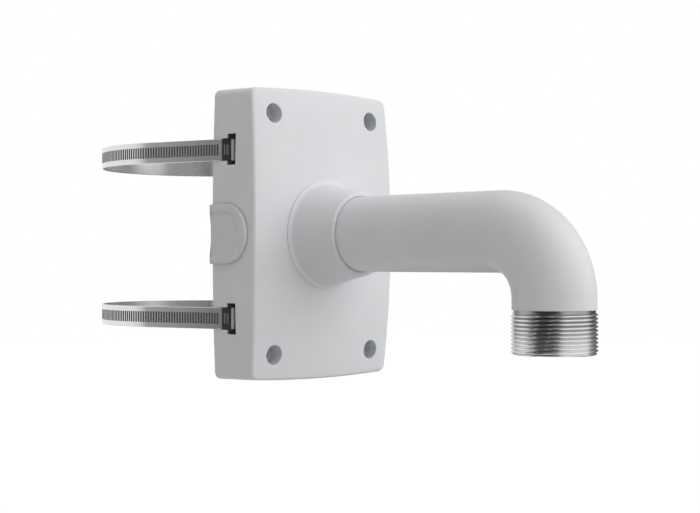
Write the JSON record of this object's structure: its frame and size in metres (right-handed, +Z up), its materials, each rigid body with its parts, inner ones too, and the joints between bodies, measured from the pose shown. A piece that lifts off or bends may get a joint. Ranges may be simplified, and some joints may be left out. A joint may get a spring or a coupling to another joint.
{
  "type": "camera pole mount bracket",
  "caption": "Cast housing with a V-cut rear, strapped to a round pole by two worm-drive bands, carrying a hollow gooseneck arm with a male pipe thread for a hanging camera.",
  "frame": {"origin": "on the axis of the pole, at the height of the arm's axis, midway between the two bands", "axes": "+X from the pole along the arm, +Y across the housing, +Z up the pole"},
  "size_m": [0.3959, 0.1586, 0.1858],
  "materials": {
    "housing_paint": "satin, fine powder coat",
    "arm_paint": "satin, fine powder coat",
    "rubber": "matt",
    "screw_steel": "satin stainless",
    "lid_plastic": "matt",
    "band_steel": "satin stainless"
  },
  "bodies": {
    "bracket": {"housing": "housing_paint", "arm": "arm_paint", "arm_gasket": "rubber", "cable_grommet": "rubber", "arm_screw_1": "screw_steel", "arm_screw_2": "screw_steel", "arm_screw_3": "screw_steel", "arm_screw_4": "screw_steel", "arm_washer_1": "screw_steel", "arm_washer_2": "screw_steel", "arm_washer_3": "screw_steel", "arm_washer_4": "screw_steel", "upper_band": "band_steel", "lower_band": "band_steel", "upper_clamp_housing": "band_steel", "lower_clamp_housing": "band_steel"},
    "left_lid": {"left_side_lid": "lid_plastic"},
    "right_lid": {"right_side_lid": "lid_plastic"},
    "upper_screw": {"upper_worm_screw": "screw_steel"},
    "lower_screw": {"lower_worm_screw": "screw_steel"}
  },
  "joints": [
    {"name": "left_lid_slide", "type": "slide", "parent": "bracket", "child": "left_lid", "axis": [-0.9997, -0.0244, 0], "range_m": [0, 0.034]},
    {"name": "right_lid_slide", "type": "slide", "parent": "bracket", "child": "right_lid", "axis": [-0.9997, 0.0244, 0], "range_m": [0, 0.034]},
    {"name": "upper_screw_turn", "type": "hinge", "parent": "bracket", "child": "upper_screw", "pos_m": [-0.06, 0.06, 0.053], "axis": [-0.7071, -0.7071, 0], "continuous": true},
    {"name": "lower_screw_turn", "type": "hinge", "parent": "bracket", "child": "lower_screw", "pos_m": [-0.06, 0.06, -0.053], "axis": [-0.7071, -0.7071, 0], "continuous": true}
  ]
}
